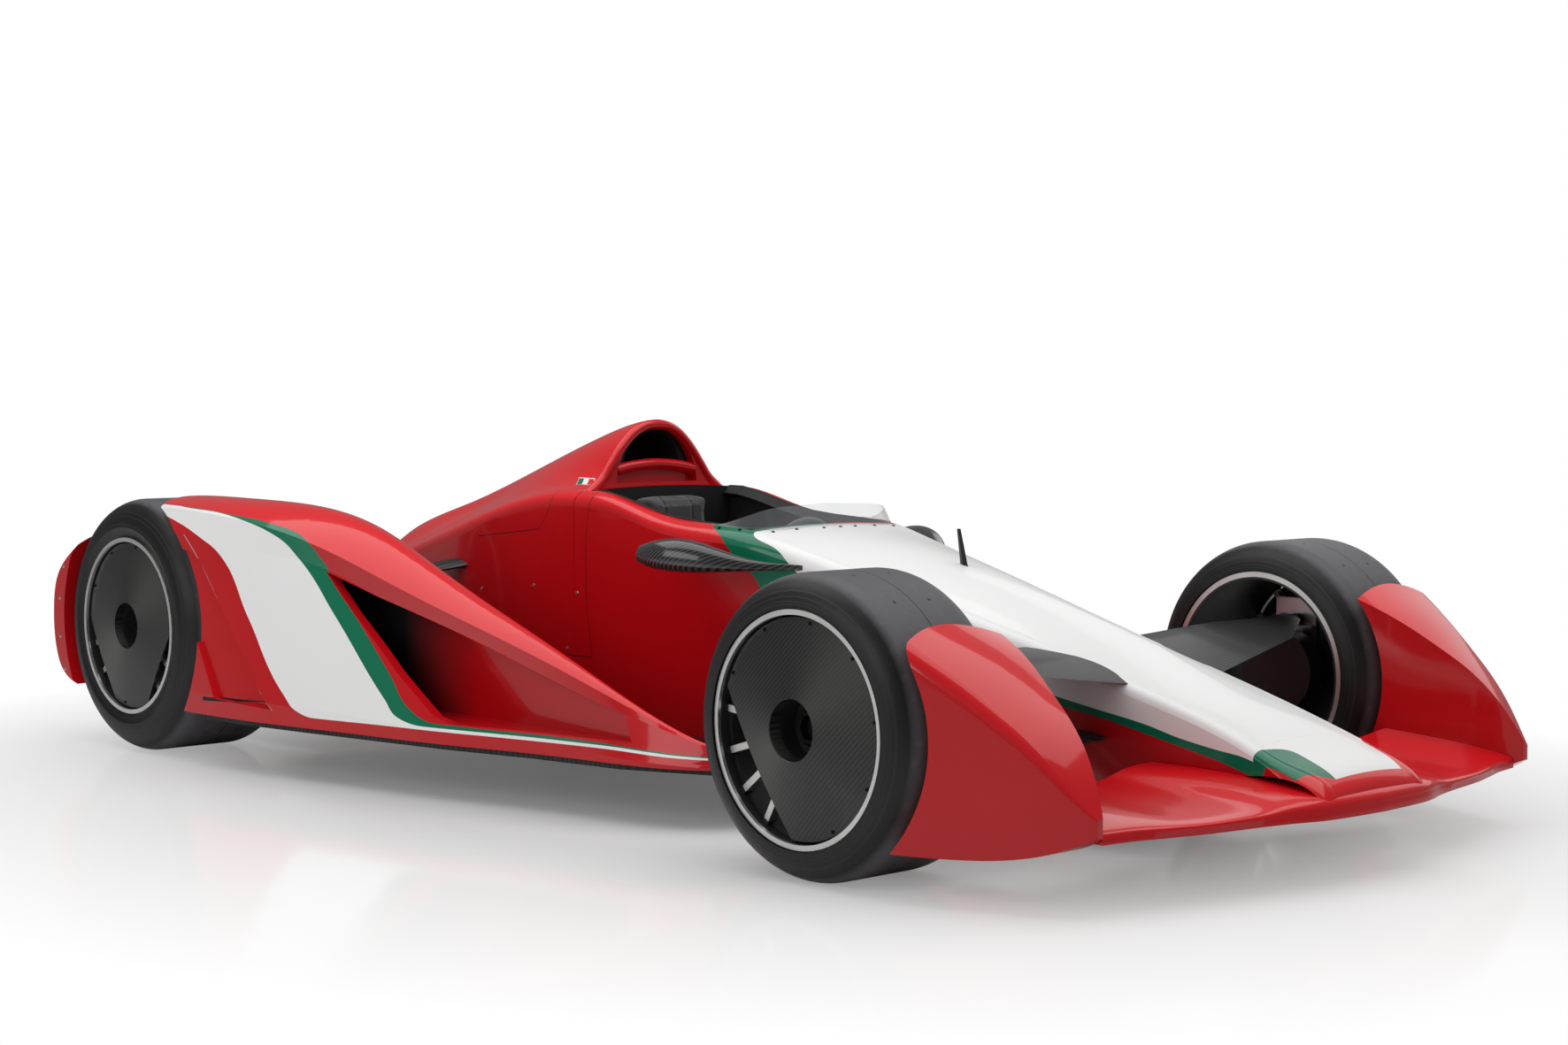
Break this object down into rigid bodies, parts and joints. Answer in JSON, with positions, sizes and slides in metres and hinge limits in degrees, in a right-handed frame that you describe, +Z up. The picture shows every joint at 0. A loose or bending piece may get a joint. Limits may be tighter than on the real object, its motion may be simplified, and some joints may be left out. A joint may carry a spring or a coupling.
{
  "type": "open wheel racing car",
  "caption": "Open wheel racing car with an open cockpit, exposed slick tyres, a low pointed nose and wedge shaped bodywork at the wheels.",
  "frame": {"origin": "on the ground, at the middle of the car's length and width", "axes": "+X forward to the nose, +Y to the driver's left, +Z up"},
  "size_m": [4.31, 2.114, 1.0205],
  "materials": {
    "body_paint": "gloss paint on composite",
    "carbon": "woven carbon composite, clear coat",
    "engine_metal": "cast",
    "screen": "clear",
    "seat_shell": "moulded",
    "padding": "covered foam",
    "grip": "suede",
    "upright_metal": "machined",
    "wheel_metal": "satin",
    "tyre": "slick rubber"
  },
  "bodies": {
    "chassis": {"nose": "body_paint", "cockpit_tub": "body_paint", "engine_cover": "body_paint", "front_wing": "body_paint", "floor": "carbon", "rear_deck": "body_paint", "engine_block": "engine_metal", "windscreen": "screen", "seat": "seat_shell", "headrest": "padding", "dash": "carbon", "pitot_probe": "carbon", "front_fender_left": "body_paint", "side_pod_left": "body_paint", "rear_guard_left": "body_paint", "mirror_left": "carbon", "front_arms_left": "carbon", "rear_arms_left": "carbon", "rear_upright_left": "upright_metal", "front_fender_right": "body_paint", "side_pod_right": "body_paint", "rear_guard_right": "body_paint", "mirror_right": "carbon", "front_arms_right": "carbon", "rear_arms_right": "carbon", "rear_upright_right": "upright_metal"},
    "steering": {"steering_wheel": "grip"},
    "knuckle_left": {"front_knuckle_left": "upright_metal"},
    "wheel_front_left": {"tyre_front_left": "tyre", "rim_front_left": "wheel_metal", "cover_front_left": "carbon"},
    "wheel_rear_left": {"tyre_rear_left": "tyre", "rim_rear_left": "wheel_metal", "cover_rear_left": "carbon"},
    "knuckle_right": {"front_knuckle_right": "upright_metal"},
    "wheel_front_right": {"tyre_front_right": "tyre", "rim_front_right": "wheel_metal", "cover_front_right": "carbon"},
    "wheel_rear_right": {"tyre_rear_right": "tyre", "rim_rear_right": "wheel_metal", "cover_rear_right": "carbon"}
  },
  "joints": [
    {"name": "steer_right", "type": "hinge", "parent": "chassis", "child": "knuckle_right", "pos_m": [1.295, -0.828, 0.35], "axis": [0, 0, 1], "range_deg": [-16, 16]},
    {"name": "steer_left", "type": "hinge", "parent": "chassis", "child": "knuckle_left", "pos_m": [1.295, 0.828, 0.35], "axis": [0, 0, 1], "range_deg": [-16, 16]},
    {"name": "steering_wheel_turn", "type": "hinge", "parent": "chassis", "child": "steering", "pos_m": [0.2271, 0, 0.62915], "axis": [-0.9397, 0, 0.342], "range_deg": [-160, 160]},
    {"name": "spin_front_right", "type": "hinge", "parent": "knuckle_right", "child": "wheel_front_right", "pos_m": [1.295, -0.853, 0.35], "axis": [0, 1, 0], "continuous": true},
    {"name": "spin_rear_right", "type": "hinge", "parent": "chassis", "child": "wheel_rear_right", "pos_m": [-1.655, -0.857, 0.3875], "axis": [0, 1, 0], "continuous": true},
    {"name": "spin_front_left", "type": "hinge", "parent": "knuckle_left", "child": "wheel_front_left", "pos_m": [1.295, 0.853, 0.35], "axis": [0, 1, 0], "continuous": true},
    {"name": "spin_rear_left", "type": "hinge", "parent": "chassis", "child": "wheel_rear_left", "pos_m": [-1.655, 0.857, 0.3875], "axis": [0, 1, 0], "continuous": true}
  ],
  "couplings": [
    {"joint": "steer_left", "follows": "steer_right", "ratio": 1},
    {"joint": "steering_wheel_turn", "follows": "steer_right", "ratio": 10}
  ]
}
